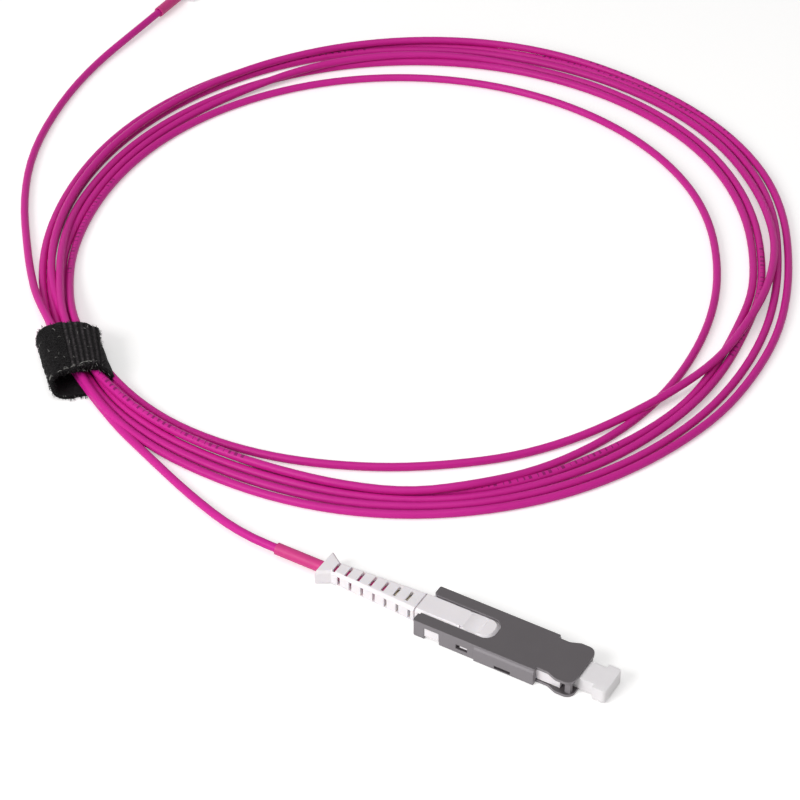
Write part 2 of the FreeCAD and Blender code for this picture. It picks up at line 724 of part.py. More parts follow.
def coil(name):
    # Outer shape of the wound turns: an eccentric ring, wider away from the tie, a narrow bundle inside it
    layer = "sizes.cord_diameter"
    rim = doc.addObject("Part::Cylinder", name + "_rim")
    rim.setExpression("Radius", "sizes.coil_inner_radius + sizes.coil_spread")
    rim.setExpression("Height", f"sizes.coil_layers * {layer}")
    rim.Placement.Base = coil_at + polar(coil_lean * value("sizes.coil_spread"), coil_wide_turn)
    eye = doc.addObject("Part::Cylinder", name + "_eye")
    eye.setExpression("Radius", "sizes.coil_inner_radius")
    eye.setExpression("Height", f"sizes.coil_layers * {layer}")
    eye.Placement.Base = coil_at
    ring = doc.addObject("Part::Cut", name + "_ring")
    ring.Base = rim
    ring.Tool = eye
    doc.recompute()
    rounded = doc.addObject("Part::Chamfer", name + "_rounded")
    rounded.Base = ring
    bevel = value("sizes.coil_bevel")
    upper = [i for i, e in enumerate(ring.Shape.Edges, 1) if e.BoundBox.ZMin > bevel]
    rounded.Edges = [(i, bevel, bevel) for i in upper]
    turn = FreeCAD.Rotation(up, tie_turn)
    gap = doc.addObject("Part::Box", name + "_tie_gap")
    bundle = doc.addObject("Part::Box", name + "_bundle")
    boxes = [
        (gap, "(sizes.tie_opening_width + 9 * sizes.strap_thickness)", "0",
         "(sizes.tie_opening_height + 3 * sizes.strap_thickness)"),
        (bundle, f"(sizes.tie_opening_width - {layer})", "sizes.strap_thickness",
         f"(sizes.coil_layers * {layer} + sizes.strap_thickness / 2)"),
    ]
    for box, width, lift, height in boxes:
        length = "(sizes.strap_width + 4 * sizes.fit_gap)"
        box.setExpression("Length", length)
        box.setExpression("Width", width)
        box.setExpression("Height", height)
        corner = V(-value(length) / 2, -value(width) / 2, value(lift))
        inset = FreeCAD.Placement(corner, FreeCAD.Rotation())
        box.Placement = FreeCAD.Placement(tie_at, turn).multiply(inset)
    open_ring = doc.addObject("Part::Cut", name + "_open")
    open_ring.Base = rounded
    open_ring.Tool = gap
    whole = doc.addObject("Part::Fuse", name)
    whole.Label = name
    whole.Base = open_ring
    whole.Tool = bundle
    whole.Refine = True
    doc.recompute()
    return whole


def tie(name):
    # Hook-and-loop strap: a flat band round the bundle with its end lapped over the top
    body = new_body(name, FreeCAD.Placement(tie_at, FreeCAD.Rotation(up, tie_turn)))
    strap = "sizes.strap_thickness"
    inside = "(sizes.tie_opening_width / 2)"
    outside = f"({inside} + {strap})"
    top = f"(sizes.tie_opening_height + 2 * {strap})"
    half_strap = "sizes.strap_width / 2"
    start = f"-{half_strap}"
    band = sketch_on(body, "YZ_Plane", name + "_band", start)
    rectangle(band, f"-{outside}", outside, "0", top)
    pad(body, band, "sizes.strap_width")
    rims = [V(0, y * value(outside), z) for y in (1, -1) for z in (0, value(top))]
    fillet(body, f"sizes.tie_round + {strap}", along, rims, name + "_rims")
    opening = sketch_on(body, "YZ_Plane", name + "_opening", start)
    rectangle(opening, f"-{inside}", inside, strap, f"{top} - {strap}")
    pocket(body, opening, "sizes.strap_width", forwards=True)
    corners = [V(0, y * value(inside), z) for y in (1, -1) for z in (value(strap), value(f"{top} - {strap}"))]
    fillet(body, "sizes.tie_round", along, corners, name + "_corners")
    lap = sketch_on(body, "YZ_Plane", name + "_lap", start)
    lap_end = f"({outside} - sizes.tie_round - {strap})"
    rectangle(lap, f"{lap_end} - sizes.flap_length", lap_end, f"{top} - {strap} / 4", f"{top} + {strap}")
    pad(body, lap, "sizes.strap_width")
    return body


axis_height = value(half_height)
plug_a_place = FreeCAD.Placement(V(0, 0, axis_height), FreeCAD.Rotation())
plug_b_at = V(value("-sizes.plug_b_back"), value("sizes.plug_b_aside"), axis_height)
plug_b_place = FreeCAD.Placement(plug_b_at, FreeCAD.Rotation(up, plug_b_turn))
tie_at = V(value("-sizes.tie_back"), value("sizes.tie_aside"), 0)
coil_at = tie_at + polar(value("sizes.coil_inner_radius + sizes.coil_inset"), coil_turn)
pieces = plug("a", plug_a_place) + plug("b", plug_b_place)
pieces.append(coil("cord_coil"))
pieces.append(tie("hook_and_loop_tie"))

# The two free ends of the cord, from inside each plug to the coil beside the tie
tail_a = [
    plug_a_place.multVec(V(value(post_end), 0, 0)), V(-62.5, 0, axis_height), V(-76.5, 4.9, 0.85),
    V(-89.5, 10.5, 0.82), V(-99.8, 15.3, 0.85), V(-107.4, 19.2, 1.6),
]
tail_b = [
    plug_b_place.multVec(V(value(post_end), 0, 0)), V(-172, 127.5, axis_height), V(-172.9, 112, 0.85),
    V(-170.6, 96, 0.82), V(-165.2, 78.5, 0.82), V(-156.5, 63.3, 0.82), V(-144.5, 48.6, 0.82),
    V(-132.5, 37, 0.85), V(-123.4, 30, 1.6),
]
pieces.append(route_tube("cord_tail_a", tail_a, value("sizes.cord_diameter"), 12))
pieces.append(route_tube("cord_tail_b", tail_b, value("sizes.cord_diameter"), 12))
doc.recompute()

for thing in doc.Objects:
    if "Invalid" in thing.State or "Error" in thing.State:
        raise RuntimeError(f"{thing.Label} failed: {thing.State}")
os.makedirs("parts", exist_ok=True)
for piece in pieces:
    shape = piece.Shape
    if shape.isNull() or not shape.isValid() or len(shape.Solids) != 1:
        raise RuntimeError(f"{piece.Label} is not one sound solid")
    shape.exportStep(f"parts/{piece.Label}.step")
print(len(pieces), "pieces written")
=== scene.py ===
import math
import random
import bpy
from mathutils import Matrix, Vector, noise


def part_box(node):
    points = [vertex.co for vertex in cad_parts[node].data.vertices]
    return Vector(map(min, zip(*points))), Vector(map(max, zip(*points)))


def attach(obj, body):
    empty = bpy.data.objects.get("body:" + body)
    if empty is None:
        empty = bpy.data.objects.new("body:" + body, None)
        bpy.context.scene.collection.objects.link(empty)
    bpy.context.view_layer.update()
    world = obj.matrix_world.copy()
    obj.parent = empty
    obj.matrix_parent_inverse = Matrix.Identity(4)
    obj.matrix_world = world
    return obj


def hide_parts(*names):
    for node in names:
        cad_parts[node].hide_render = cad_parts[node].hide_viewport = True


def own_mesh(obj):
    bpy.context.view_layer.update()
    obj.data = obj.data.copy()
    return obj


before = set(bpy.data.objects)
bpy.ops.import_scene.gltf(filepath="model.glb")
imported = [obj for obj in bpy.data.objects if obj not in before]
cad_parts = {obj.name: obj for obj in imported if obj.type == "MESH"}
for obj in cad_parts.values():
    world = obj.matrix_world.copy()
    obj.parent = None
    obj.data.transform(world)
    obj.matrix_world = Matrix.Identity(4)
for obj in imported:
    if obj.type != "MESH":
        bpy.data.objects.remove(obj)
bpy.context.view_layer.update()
print("frame loaded:", len(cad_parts), "nodes")

mm = 0.001


def linear(hexColour):
    channels = [int(hexColour[i:i + 2], 16) / 255 for i in (1, 3, 5)]
    return [c / 12.92 if c <= 0.04045 else ((c + 0.055) / 1.055) ** 2.4 for c in channels] + [1.0]


def perMetre(sizeInMm):
    return 1 / (sizeInMm * mm)  # texture scale for a feature of that size


def addNode(tree, kind, values=None, links=None, **settings):
    node = tree.nodes.new(kind)
    for name, value in settings.items():
        setattr(node, name, value)
    for socket, value in (values or {}).items():
        node.inputs[socket].default_value = value
    for socket, source in (links or {}).items():
        tree.links.new(source, node.inputs[socket])
    return node


def startMaterial(name, values):
    material = bpy.data.materials.new(name)
    material.use_nodes = True
    tree = material.node_tree
    shader = tree.nodes["Principled BSDF"]
    for socket, value in values.items():
        shader.inputs[socket].default_value = value
    return material, tree, shader


def twoTone(tree, shader, tones, sizeInMm, detail=2.0, gloss=None):
    # patches of that size drift between two close tones, and between gloss's two levels of roughness if given
    coords = addNode(tree, "ShaderNodeTexCoord")
    patches = addNode(tree, "ShaderNodeTexNoise", {"Scale": perMetre(sizeInMm), "Detail": detail},
                      {"Vector": coords.outputs["Object"]})
    colour = addNode(tree, "ShaderNodeMix", {6: linear(tones[0]), 7: linear(tones[1])},
                     {0: patches.outputs["Fac"]}, data_type="RGBA")
    tree.links.new(colour.outputs[2], shader.inputs["Base Color"])
    if gloss:
        level = addNode(tree, "ShaderNodeMapRange", {"To Min": gloss[0], "To Max": gloss[1]},
                        {"Value": patches.outputs["Fac"]})
        tree.links.new(level.outputs[0], shader.inputs["Roughness"])
    return coords, patches, colour


def meshPiece(name, verts, faces, material):
    mesh = bpy.data.meshes.new(name)
    mesh.from_pydata(verts, [], faces)
    mesh.validate()
    mesh.polygons.foreach_set("use_smooth", [True] * len(mesh.polygons))
    piece = bpy.data.objects.new(name, mesh)
    bpy.context.collection.objects.link(piece)
    piece.data.materials.append(material)
    return piece


# floor and soft studio light

studio = {
    "floorColour": "#F4F3F2",
    "floorSize": 4.0,
    "floorDrop": 0.0001,  # keeps the paper clear of the part's underside
    "cameraAt": (0.1496, -0.3032, 0.3421),
    "cameraLooksAt": (-0.0573, 0.0481, 0.0),
    "lens": 126.6, "sensor": 36.0, "nearClip": 0.01,
    "worldLevel": 0.3, "worldSeen": 1.0,
    "floorGlow": 0.36,  # lifts the lit paper to white where it is seen
    "panels": [  # name, place, aimed at, side, watts
        ("key_panel", (-0.28, -0.55, 0.42), (-0.04, 0, 0), 0.36, 3.4),
        ("low_front_panel", (0.06, -0.62, 0.13), (-0.04, 0, 0), 0.3, 0.2),
        ("overhead_panel", (0.0, -0.15, 0.75), (-0.04, 0, 0), 0.6, 1.6),
    ],
}


def levelWhereSeen(tree, level, seenLevel):
    # the seen level shows to the camera, also mirrored or through clear plastic; the scene is lit by the other
    path = addNode(tree, "ShaderNodeLightPath")
    direct = addNode(tree, "ShaderNodeMath", operation="MAXIMUM",
                     links={0: path.outputs["Is Camera Ray"], 1: path.outputs["Is Transmission Ray"]})
    seen = addNode(tree, "ShaderNodeMath", operation="MAXIMUM",
                   links={0: direct.outputs[0], 1: path.outputs["Is Glossy Ray"]})
    return addNode(tree, "ShaderNodeMapRange", {"To Min": level, "To Max": seenLevel}, {"Value": seen.outputs[0]})


def setStudio():
    scene = bpy.context.scene
    scene.view_settings.view_transform = "Standard"
    world = bpy.data.worlds.new("white_tent")
    world.use_nodes = True
    scene.world = world
    background = world.node_tree.nodes["Background"]
    background.inputs["Color"].default_value = (1, 1, 1, 1)
    level = levelWhereSeen(world.node_tree, studio["worldLevel"], studio["worldSeen"])
    world.node_tree.links.new(level.outputs[0], background.inputs["Strength"])

    # paper sweep: matt and even, with next to no sheen
    paper, tree, shader = startMaterial("white_paper_sweep", {
        "Base Color": linear(studio["floorColour"]), "Roughness": 0.9, "Specular IOR Level": 0.2,
        "Emission Color": (1, 1, 1, 1)})
    glow = levelWhereSeen(tree, 0.0, studio["floorGlow"])
    tree.links.new(glow.outputs[0], shader.inputs["Emission Strength"])
    half = studio["floorSize"] / 2
    floor = meshPiece("paper_floor", [(-half, -half, 0), (half, -half, 0), (half, half, 0), (-half, half, 0)],
                      [(0, 1, 2, 3)], paper)
    floor.location.z = -studio["floorDrop"]

    for name, place, aim, side, watts in studio["panels"]:
        lamp = bpy.data.lights.new(name, "AREA")
        lamp.size = side
        lamp.energy = watts
        panel = bpy.data.objects.new(name, lamp)
        panel.location = place
        panel.rotation_euler = (Vector(aim) - Vector(place)).to_track_quat("-Z", "Y").to_euler()
        bpy.context.collection.objects.link(panel)

    lensData = bpy.data.cameras.new("photo_camera")
    lensData.lens = studio["lens"]
    lensData.sensor_width = studio["sensor"]
    lensData.clip_start = studio["nearClip"]
    camera = bpy.data.objects.new("photo_camera", lensData)
    camera.location = studio["cameraAt"]
    aim = Vector(studio["cameraLooksAt"]) - camera.location
    camera.rotation_euler = aim.to_track_quat("-Z", "Y").to_euler()
    bpy.context.collection.objects.link(camera)
    scene.camera = camera
    print("studio set:", len(studio["panels"]), "panels")


# cord: one run from plug A through the tie, six loose turns, and out to plug B

cordRun = {
    "diameter": 1.6,
    "length": 2.95,  # metres between the two crimp posts: a 3 m cord over its plugs
    "sides": 6,  # bevel resolution
    "steps": 4,  # of the curve between two points
    "tones": ("#C31A89", "#D02897"), "ink": "#8E1266",
    # plain print ticks: pitch, how often a group comes, how much of that it fills, where the first one starts
    "tickPitch": 1.4, "tickGroup": 385.0, "tickShare": 0.1, "tickStart": 0.353,
    # thinnest and widest as shares of the pitch; middle and half height as shares of the way round, 0.25 on top
    "tickWidths": (0.05, 0.5), "tickMiddle": 0.165, "tickReach": 0.085,
    # touching strands: rounds of settling, distance kept in diameters, share of an overlap cleared in a round,
    # points held at both ends, and how many points further along count as another strand
    "rounds": 30, "spacing": 1.005, "push": 0.3, "heldEnds": 4, "otherStrand": 6,
    "innerCentre": (-80.0, 86.0), "innerRadius": 65.2,
    "outerCentre": (-77.5, 88.5), "outerRadius": 76.0,
    "tieAngle": 240,
    "pointsPerTurn": 36,
    # the route's own points in millimetres, plug end first
    "tailA": [(-30.6, 0, 1.75), (-50, 0, 1.75), (-62.5, 0, 1.75), (-76.5, 4.9, 0.85), (-89.5, 10.2, 0.82),
              (-99.8, 14.4, 0.85)],
    "tailB": [(-123.9, 29.2, 3.2), (-133.2, 36.4, 2.6), (-138.6, 42.0, 1.4), (-144.5, 48.6, 0.85),
              (-156.5, 63.3, 0.82), (-165.2, 78.5, 0.82), (-170.6, 96, 0.82), (-172.9, 112, 0.85),
              (-172, 127.5, 1.75), (-172, 159.4, 1.75)],
    # each turn: degrees clockwise from the tie, share of the way from inner to outer circle, height
    "turns": [
        [(0, .93, 1.85), (8, .89, 1.8), (18, .81, .85), (28, .82, .8), (45, .82, .8), (70, .96, .8),
         (100, 1.0, .8), (140, 1.03, .8), (175, 1.055, .8), (190, .98, .8), (211, .76, .8), (222, .73, .8),
         (240, .75, .8), (252, .81, .8), (261, .845, .8), (271, .9, .8), (279, .935, .8), (290, .99, .8),
         (300, 1.0, .8), (310, .99, .8), (318, .93, .8), (325, .905, .8), (332, .88, .8), (345, .9, .85),
         (353, .87, 1.5), (360, .71, 1.85)],
        [(0, .71, 1.85), (8, .68, 1.8), (18, .6, .85), (28, .6, .8), (45, .61, .8), (70, .7, .8), (100, .84, .8),
         (140, .9, .8), (175, .935, .8), (190, .85, .9), (200, .79, 1.6), (211, .72, 2.4), (222, .58, 2.3),
         (230, .46, 2.35), (240, .38, 2.4), (249, .25, 2.5), (257, .13, 1.9), (264, .01, 1.1), (271, -.015, .8),
         (279, -.035, .8), (289, -.1, .8), (303, -.09, .8), (312, -.05, .8), (319, .017, .8), (326, .1, .8),
         (332, .14, .8), (345, .25, .85), (353, .27, 1.8), (360, .32, 3.28)],
        [(0, .32, 3.28), (8, .27, 3.1), (18, .12, 1.7), (28, .04, .8), (45, -.09, .8), (70, -.09, .8),
         (140, -.05, .8), (190, -.04, .8), (211, -.1, .8), (234, -.055, .8), (244, .02, .8), (252, .1, .8),
         (258, .17, .8), (265, .25, .8), (271, .315, .8), (277, .395, .8), (284, .5, 1.3), (290, .64, 2.1),
         (300, .74, 2.12), (307, .66, 2.1), (312.7, .6, 2.1), (318.8, .53, 2.1), (325, .49, 2.2),
         (332, .53, 2.3), (345, .57, 2.35), (353, .6, 3.05), (360, .58, 3.28)],
        [(0, .58, 3.28), (8, .53, 3.2), (18, .38, 2.75), (28, .31, 2.4), (36, .32, 1.9), (45, .33, .8),
         (70, .35, .8), (100, .42, .8), (140, .53, .8), (175, .57, .8), (190, .52, .8), (211, .415, .8),
         (222, .4, .8), (230, .33, .8), (240, .36, .8), (250, .455, .8), (258, .48, .8), (268, .5, .8),
         (273, .52, .8), (279, .59, .8), (290, .645, .8), (300, .65, .8), (307, .57, .8), (312.7, .49, .8),
         (318.8, .42, .8), (325, .36, .8), (332, .33, .8), (345, .46, .85), (353, .42, 1.6), (360, .223, 1.85)],
        [(0, .223, 1.85), (8, .235, 1.8), (18, .27, .85), (28, .28, .8), (45, .12, .8), (70, .14, .8),
         (88, .22, 1.2), (100, .33, 2.2), (112, .46, 2.4), (125, .58, 2.0), (140, .68, .8), (175, .69, .8),
         (190, .64, .8), (211, .53, .8), (222, .52, .8), (230, .46, .8), (240, .49, .8), (246, .555, 1.4),
         (252, .595, 1.7), (257, .62, 1.5), (263, .645, 1.0), (269, .685, .8), (279, .75, .8), (290, .82, .8),
         (300, .825, .8), (307, .78, .8), (312.7, .72, .8), (318.8, .66, .8), (325, .65, .8), (332, .63, .8),
         (345, .68, .9), (353, .63, 1.6), (360, .45, 1.85)],
        [(0, .45, 1.85), (8, .46, 1.85), (18, .54, 1.9), (28, .57, 2.37), (45, .56, 2.37), (70, .65, 2.3),
         (85, .74, 2.35), (100, .86, 2.4), (120, 1.0, 2.45), (140, 1.12, 2.0), (160, 1.17, .9), (175, 1.175, .8),
         (190, 1.12, .8), (211, .91, .8), (222, .89, .8), (230, .91, .8), (240, .92, .8), (250, .975, .8),
         (260, 1.0, .8), (267, 1.035, .8), (272, 1.065, .8), (279, 1.115, .8), (294, 1.185, .8), (302, 1.22, .8),
         (312, 1.23, .8), (318, 1.21, .8), (325, 1.18, .8), (332, 1.14, .85), (345, 1.12, .9), (353, 1.05, 2.4),
         (360, .88, 3.28)],
    ],
}


def jacketLszh():
    # LSZH cord jacket, extruded: satin magenta with slow shifts of tone along it and a fine grain in its gloss
    material, tree, shader = startMaterial("extruded_lszh_jacket", {"IOR": 1.5, "Specular IOR Level": 0.2})
    coords, patches, colour = twoTone(tree, shader, cordRun["tones"], 14, 3.0)
    # ink ticks along the jacket's upper outer side: u runs along the cord, v round it
    place = addNode(tree, "ShaderNodeSeparateXYZ", links={0: coords.outputs["UV"]})
    ticks = addNode(tree, "ShaderNodeMath", {1: cordRun["length"] / (cordRun["tickPitch"] * mm)},
                    {0: place.outputs[0]}, operation="MULTIPLY")
    number = addNode(tree, "ShaderNodeMath", links={0: ticks.outputs[0]}, operation="FLOOR")
    chance = addNode(tree, "ShaderNodeTexWhiteNoise", links={"W": number.outputs[0]}, noise_dimensions="1D")
    within = addNode(tree, "ShaderNodeMath", links={0: ticks.outputs[0]}, operation="FRACT")
    thin, thick = cordRun["tickWidths"]
    wide = addNode(tree, "ShaderNodeMapRange", {"To Min": thin, "To Max": thick}, {"Value": chance.outputs["Value"]})
    bar = addNode(tree, "ShaderNodeMath", links={0: within.outputs[0], 1: wide.outputs[0]}, operation="LESS_THAN")
    groups = addNode(tree, "ShaderNodeMath",
                     {1: cordRun["length"] / (cordRun["tickGroup"] * mm), 2: cordRun["tickStart"]},
                     {0: place.outputs[0]}, operation="MULTIPLY_ADD")
    group = addNode(tree, "ShaderNodeMath", links={0: groups.outputs[0]}, operation="FRACT")
    printed = addNode(tree, "ShaderNodeMath", {1: cordRun["tickShare"]}, {0: group.outputs[0]},
                      operation="LESS_THAN")
    aside = addNode(tree, "ShaderNodeMath", {1: cordRun["tickMiddle"], 2: cordRun["tickReach"]},
                    {0: place.outputs[1]}, operation="COMPARE")
    inGroup = addNode(tree, "ShaderNodeMath", links={0: bar.outputs[0], 1: printed.outputs[0]},
                      operation="MULTIPLY")
    ink = addNode(tree, "ShaderNodeMath", links={0: inGroup.outputs[0], 1: aside.outputs[0]}, operation="MULTIPLY")
    inked = addNode(tree, "ShaderNodeMix", {7: linear(cordRun["ink"])}, {0: ink.outputs[0], 6: colour.outputs[2]},
                    data_type="RGBA")
    tree.links.new(inked.outputs[2], shader.inputs["Base Color"])
    fine = addNode(tree, "ShaderNodeTexNoise", {"Scale": perMetre(0.5), "Detail": 4.0},
                   {"Vector": coords.outputs["Object"]})
    rough = addNode(tree, "ShaderNodeMapRange", {"To Min": 0.36, "To Max": 0.5}, {"Value": fine.outputs["Fac"]})
    tree.links.new(rough.outputs[0], shader.inputs["Roughness"])
    bump = addNode(tree, "ShaderNodeBump", {"Strength": 0.12, "Distance": 0.05 * mm},
                   {"Height": fine.outputs["Fac"]})
    tree.links.new(bump.outputs[0], shader.inputs["Normal"])
    return material


def between(stations, degrees):
    # eases from one station to the next; the slope at each comes from the stations on either side
    k = 0
    while k < len(stations) - 2 and degrees > stations[k + 1][0]:
        k += 1
    start, end = stations[k], stations[k + 1]
    before, after = stations[max(0, k - 1)], stations[min(len(stations) - 1, k + 2)]
    span = end[0] - start[0]
    t = (degrees - start[0]) / span
    found = []
    for i in (1, 2):
        slopeIn = (end[i] - before[i]) / (end[0] - before[0]) * span
        slopeOut = (after[i] - start[i]) / (after[0] - start[0]) * span
        found.append((2 * t ** 3 - 3 * t ** 2 + 1) * start[i] + (t ** 3 - 2 * t ** 2 + t) * slopeIn
                     + (3 * t ** 2 - 2 * t ** 3) * end[i] + (t ** 3 - t ** 2) * slopeOut)
    return found


def ringPoint(share, degrees):
    inner, outer = Vector(cordRun["innerCentre"]), Vector(cordRun["outerCentre"])
    radius = cordRun["innerRadius"] + share * (cordRun["outerRadius"] - cordRun["innerRadius"])
    radius /= math.cos(math.pi / cordRun["pointsPerTurn"])  # the spline runs just inside its points
    turn = math.radians(cordRun["tieAngle"] - degrees)
    return inner.lerp(outer, share) + radius * Vector((math.cos(turn), math.sin(turn)))


def settle(points):
    # strands that touch push each other apart, and none goes below the floor
    low, clear = cordRun["diameter"] / 2, cordRun["diameter"] * cordRun["spacing"]
    first, last = cordRun["heldEnds"], len(points) - cordRun["heldEnds"]
    for step in range(cordRun["rounds"]):
        moves = {}
        for i in range(first, last):
            for j in range(i + cordRun["otherStrand"], last):
                apart = points[j] - points[i]
                if abs(apart.x) > clear or abs(apart.y) > clear or apart.length > clear:
                    continue
                push = apart.normalized() * (clear - apart.length) * cordRun["push"]
                moves[j] = moves.get(j, Vector()) + push
                moves[i] = moves.get(i, Vector()) - push
        for i, move in moves.items():
            points[i] += move
            points[i].z = max(points[i].z, low)


def makeCord():
    points = [Vector(p) for p in cordRun["tailA"]]
    count = cordRun["pointsPerTurn"]
    for number, stations in enumerate(cordRun["turns"]):
        for i in range(0 if number == 0 else 1, count + 1):  # a turn starts where the last one ended
            degrees = 360 * i / count
            share, height = between(stations, degrees)
            spot = ringPoint(share, degrees).to_3d()
            spot.z = max(height, cordRun["diameter"] / 2)
            points.append(spot)
    points += [Vector(p) for p in cordRun["tailB"]]
    settle(points)

    curve = bpy.data.curves.new("jacketed_cord", "CURVE")
    curve.dimensions = "3D"
    curve.twist_mode = "Z_UP"
    curve.bevel_depth = cordRun["diameter"] / 2 * mm
    curve.bevel_resolution = cordRun["sides"]
    curve.resolution_u = cordRun["steps"]
    spline = curve.splines.new("NURBS")
    spline.points.add(len(points) - 1)
    for spot, point in zip(spline.points, points):
        spot.co = (*(point * mm), 1)
    spline.order_u = 3
    spline.use_endpoint_u = True
    cord = bpy.data.objects.new("jacketed_cord", curve)
    bpy.context.collection.objects.link(cord)
    curve.materials.append(jacketLszh())
    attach(cord, "cord_and_plugs")
    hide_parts("cord_coil", "cord_tail_a", "cord_tail_b")
    print("cord laid:", len(points), "points,", len(cordRun["turns"]), "turns")


# tie: a hook-and-loop strap wound round the bundle, its ribbed hook end lapped over on top

strapTie = {
    "centre": (-115.3, 24.5),
    "turn": 132.0,  # its own direction along the bundle
    "width": 14.3,
    "thickness": 0.95,
    "step": 0.15,  # along the strap
    "columns": 40,  # across it
    # middle of the strap seen along the bundle: inwards, up, how far it has slipped towards plug A, and its twist
    "path": [(-2.0, 4.5, -1.3, 7), (1.6, 4.55, -1.2, 7), (4.0, 4.1, -.5, 7), (5.2, 2.9, .5, 7), (5.1, 1.5, 1.0, 7),
             (3.8, .6, 1.2, 6), (0, .5, 1.2, 5), (-3.6, .5, 1.0, 5), (-5.2, 1.2, .6, 5), (-5.8, 3.0, .1, 5),
             (-5.2, 4.6, -.3, 4), (-3.2, 5.3, -.5, 3), (0, 5.55, -.4, 1), (2.8, 5.45, -.1, 0),
             (4.9, 4.95, .1, -2)],
    "pathSteps": 40,  # between two of those points
    "edgeWander": 0.22, "faceSwell": 0.1,
    "ribPitch": 1.0,
    "ribHeight": 0.42,
    "ribbedEnd": 6.6,  # millimetres of hook tape at the free end
    "taper": 0.26,  # share of its width that the free end loses
    # the pale grey after the tones is a painted highlight on the crests of the hook ribs
    "tones": ("#0B0A0B", "#1D1B1C"), "paintedRibHighlight": "#454143",
    "yarn": ("#0A090A", "#1E1C1D"), "paleYarn": ("#6F6E6B", "#A7A6A2"),
    # napped loops, from where the strap turns under the bundle; most of those on the hook end are left out
    "loops": 2200, "loopsFrom": 0.28, "hooksBare": 0.85, "paleLoops": 0.03,
    "loopLean": (0.2, 0.45), "loopHeight": (0.12, 0.34), "loopRadius": (0.03, 0.05), "loopRoot": 0.05,
    # cut filaments along both edges, longer on the one towards plug A, and across the free end
    "frays": 900, "paleFrays": 0.06, "frayLength": {1: (0.15, 0.75), -1: (0.15, 1.0)}, "frayBend": 0.3,
    "endFrays": 140, "paleEndFrays": 0.05, "endFrayLength": (0.3, 0.7), "endFrayBend": 0.22,
    "frayRadius": (0.035, 0.06),
    # pale bits caught along the edge towards plug A, from where the strap comes up again
    "lint": 16, "lintFrom": 0.68, "lintLength": (0.2, 0.55), "lintRise": (0.05, 0.2), "lintRadius": (0.05, 0.09),
    "floorGap": 0.02,
    "seed": 7,
}


def wovenStrap():
    # polyamide hook-and-loop tape, woven and napped: dull black, the weave only just shows between the loops
    material, tree, shader = startMaterial("woven_black_polyamide", {"IOR": 1.53, "Specular IOR Level": 0.12})
    coords = addNode(tree, "ShaderNodeTexCoord")
    cells = addNode(tree, "ShaderNodeTexVoronoi", {"Scale": perMetre(0.45)}, {"Vector": coords.outputs["Object"]})
    dark, light = strapTie["tones"]
    colour = addNode(tree, "ShaderNodeMix", {6: linear(dark), 7: linear(light)}, {0: cells.outputs["Distance"]},
                     data_type="RGBA")
    crest = addNode(tree, "ShaderNodeAttribute", attribute_name="crest")  # painted highlight on the tops of the moulded hook ribs
    hooks = addNode(tree, "ShaderNodeTexNoise", {"Scale": perMetre(0.5), "Detail": 3.0},
                    {"Vector": coords.outputs["Object"]})
    shown = addNode(tree, "ShaderNodeMath", links={0: crest.outputs["Fac"], 1: hooks.outputs["Fac"]},
                    operation="MULTIPLY")
    highlightShare = addNode(tree, "ShaderNodeMapRange", {"From Min": 0.3, "From Max": 0.66}, {"Value": shown.outputs[0]})
    colour = addNode(tree, "ShaderNodeMix", {7: linear(strapTie["paintedRibHighlight"])},
                     {0: highlightShare.outputs[0], 6: colour.outputs[2]}, data_type="RGBA")
    tree.links.new(colour.outputs[2], shader.inputs["Base Color"])
    rough = addNode(tree, "ShaderNodeMapRange", {"To Min": 0.65, "To Max": 0.9},
                    {"Value": cells.outputs["Distance"]})
    tree.links.new(rough.outputs[0], shader.inputs["Roughness"])
    bump = addNode(tree, "ShaderNodeBump", {"Strength": 0.6, "Distance": 0.12 * mm},
                   {"Height": cells.outputs["Distance"]})
    tree.links.new(bump.outputs[0], shader.inputs["Normal"])
    return material


def loopYarn(name, tones):
    # fine polyamide filament: a slight shine on each loop, so the pile sparkles a little
    material, tree, shader = startMaterial(name, {"IOR": 1.53, "Roughness": 0.5, "Specular IOR Level": 0.25})
    twoTone(tree, shader, tones, 1.5)
    return material


def strapFrame(inwards, up, along, twist):
    turn = math.radians(strapTie["turn"] + twist)
    forward = Vector((math.cos(turn), math.sin(turn), 0))
    inward = Vector((math.sin(turn), -math.cos(turn), 0))
    return Vector((*strapTie["centre"], 0)) + inward * inwards + forward * along + Vector((0, 0, up))


def strapLine():
    # evenly spaced points along the strap with their outward direction
    spots = [Vector(p) for p in strapTie["path"]]
    fineSteps = strapTie["pathSteps"]
    dense = []
    for k in range(len(spots) - 1):
        before, start, end, after = spots[max(0, k - 1)], spots[k], spots[k + 1], spots[min(len(spots) - 1, k + 2)]
        for i in range(fineSteps):
            t = i / fineSteps
            dense.append(0.5 * (2 * start + (end - before) * t + (2 * before - 5 * start + 4 * end - after) * t * t
                                + (3 * start - before - 3 * end + after) * t ** 3))
    dense.append(spots[-1])
    line, gone, due = [dense[0]], 0.0, strapTie["step"]
    for start, end in zip(dense, dense[1:]):
        gone += (end - start).xy.length
        if gone >= due:
            line.append(end)
            due += strapTie["step"]
    outward = []
    for i in range(len(line)):
        run = line[min(i + 1, len(line) - 1)] - line[max(i - 1, 0)]
        outward.append(Vector((-run.y, run.x)).normalized())
    return line, outward


